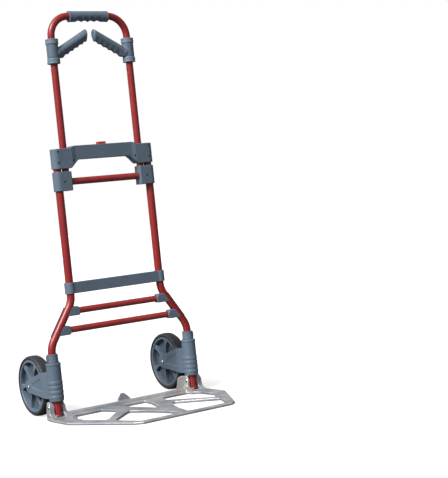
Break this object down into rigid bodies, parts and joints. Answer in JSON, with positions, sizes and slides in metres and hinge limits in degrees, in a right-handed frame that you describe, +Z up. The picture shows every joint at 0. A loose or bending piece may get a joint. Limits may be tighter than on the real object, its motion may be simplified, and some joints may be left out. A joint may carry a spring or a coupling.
{
  "type": "folding luggage cart",
  "caption": "Folding two-wheel luggage cart with a telescoping loop handle, swivelling hand grips, swing-in wheel forks and a hinged open cast toe plate.",
  "frame": {"origin": "on the floor under the middle of the toe plate's rear beam, in the plane of the side tubes", "axes": "+Z up the tubes, toe plate reaches towards -Y, wheels stand towards +Y, X from side to side"},
  "size_m": [0.514, 0.522, 1.112],
  "materials": {
    "red_powder_coat": "glossy powder coat on steel tube",
    "red_plastic": "moulded, satin gloss",
    "grey_plastic": "fine moulded grain, blue-grey",
    "pale_plastic": "fine moulded grain, paler blue-grey",
    "cast_aluminium": "as cast and tumbled",
    "steel": "zinc plated",
    "tyre_rubber": "smooth solid tyre"
  },
  "bodies": {
    "frame": {"lower_tube_left": "red_powder_coat", "lower_tube_right": "red_powder_coat", "bridge_front": "grey_plastic", "bridge_rear": "grey_plastic", "bridge_screws": "steel", "button_spring": "steel", "lower_cross_band": "grey_plastic", "cross_tube_upper": "red_powder_coat", "cross_tube_lower": "red_powder_coat", "clamp_upper_left": "grey_plastic", "clamp_upper_right": "grey_plastic", "clamp_lower_left": "grey_plastic", "clamp_lower_right": "grey_plastic", "glide_strip_left": "grey_plastic", "glide_strip_right": "grey_plastic", "tube_collar_left": "grey_plastic", "tube_collar_right": "grey_plastic", "hinge_pin_left": "steel", "hinge_pin_right": "steel"},
    "button": {"release_button": "red_plastic"},
    "latch_left": {"latch_bolt_left": "steel"},
    "latch_right": {"latch_bolt_right": "steel"},
    "handle": {"handle_tube": "red_powder_coat", "top_grip": "grey_plastic", "slider_left": "grey_plastic", "slider_right": "grey_plastic", "slider_cross_tube": "red_powder_coat", "slider_screws": "steel", "swivel_ring_upper_left": "pale_plastic", "swivel_ring_upper_right": "pale_plastic", "swivel_ring_lower_left": "pale_plastic", "swivel_ring_lower_right": "pale_plastic"},
    "toe_plate": {"toe_plate": "cast_aluminium"},
    "swivel_left": {"swivel_grip_left": "grey_plastic", "grip_cap_left": "pale_plastic"},
    "fork_left": {"fork_left": "grey_plastic", "axle_left": "steel", "axle_cap_left": "steel"},
    "wheel_left": {"rim_left": "grey_plastic", "tyre_left": "tyre_rubber"},
    "swivel_right": {"swivel_grip_right": "grey_plastic", "grip_cap_right": "pale_plastic"},
    "fork_right": {"fork_right": "grey_plastic", "axle_right": "steel", "axle_cap_right": "steel"},
    "wheel_right": {"rim_right": "grey_plastic", "tyre_right": "tyre_rubber"}
  },
  "joints": [
    {"name": "handle_slide", "type": "slide", "parent": "frame", "child": "handle", "axis": [0, 0, 1], "range_m": [-0.227, 0]},
    {"name": "button_press", "type": "slide", "parent": "frame", "child": "button", "axis": [0, 0, -1], "range_m": [0, 0.004], "stiffness_N_per_m": 500, "springref_m": -0.002, "deforming": ["button_spring"]},
    {"name": "latch_left_slide", "type": "slide", "parent": "frame", "child": "latch_left", "axis": [1, 0, 0], "range_m": [0, 0.004]},
    {"name": "latch_right_slide", "type": "slide", "parent": "frame", "child": "latch_right", "axis": [-1, 0, 0], "range_m": [0, 0.004]},
    {"name": "toe_plate_fold", "type": "hinge", "parent": "frame", "child": "toe_plate", "pos_m": [0, 0, 0.035], "axis": [-1, 0, 0], "range_deg": [0, 90]},
    {"name": "fork_left_swing", "type": "hinge", "parent": "frame", "child": "fork_left", "pos_m": [-0.2195, 0, 0.1], "axis": [0, 0, -1], "range_deg": [0, 90]},
    {"name": "wheel_left_spin", "type": "hinge", "parent": "fork_left", "child": "wheel_left", "pos_m": [-0.2195, 0.119, 0.085], "axis": [1, 0, 0], "continuous": true},
    {"name": "swivel_left_turn", "type": "hinge", "parent": "handle", "child": "swivel_left", "pos_m": [-0.1196, 0, 1], "axis": [0, 0, 1], "range_deg": [0, 180]},
    {"name": "fork_right_swing", "type": "hinge", "parent": "frame", "child": "fork_right", "pos_m": [0.2195, 0, 0.1], "axis": [0, 0, 1], "range_deg": [0, 90]},
    {"name": "wheel_right_spin", "type": "hinge", "parent": "fork_right", "child": "wheel_right", "pos_m": [0.2195, 0.119, 0.085], "axis": [1, 0, 0], "continuous": true},
    {"name": "swivel_right_turn", "type": "hinge", "parent": "handle", "child": "swivel_right", "pos_m": [0.1196, 0, 1], "axis": [0, 0, -1], "range_deg": [0, 180]}
  ],
  "couplings": [
    {"joint": "fork_left_swing", "follows": "toe_plate_fold", "ratio": 1},
    {"joint": "fork_right_swing", "follows": "toe_plate_fold", "ratio": 1},
    {"joint": "latch_left_slide", "follows": "button_press", "ratio": 1},
    {"joint": "latch_right_slide", "follows": "button_press", "ratio": 1}
  ]
}
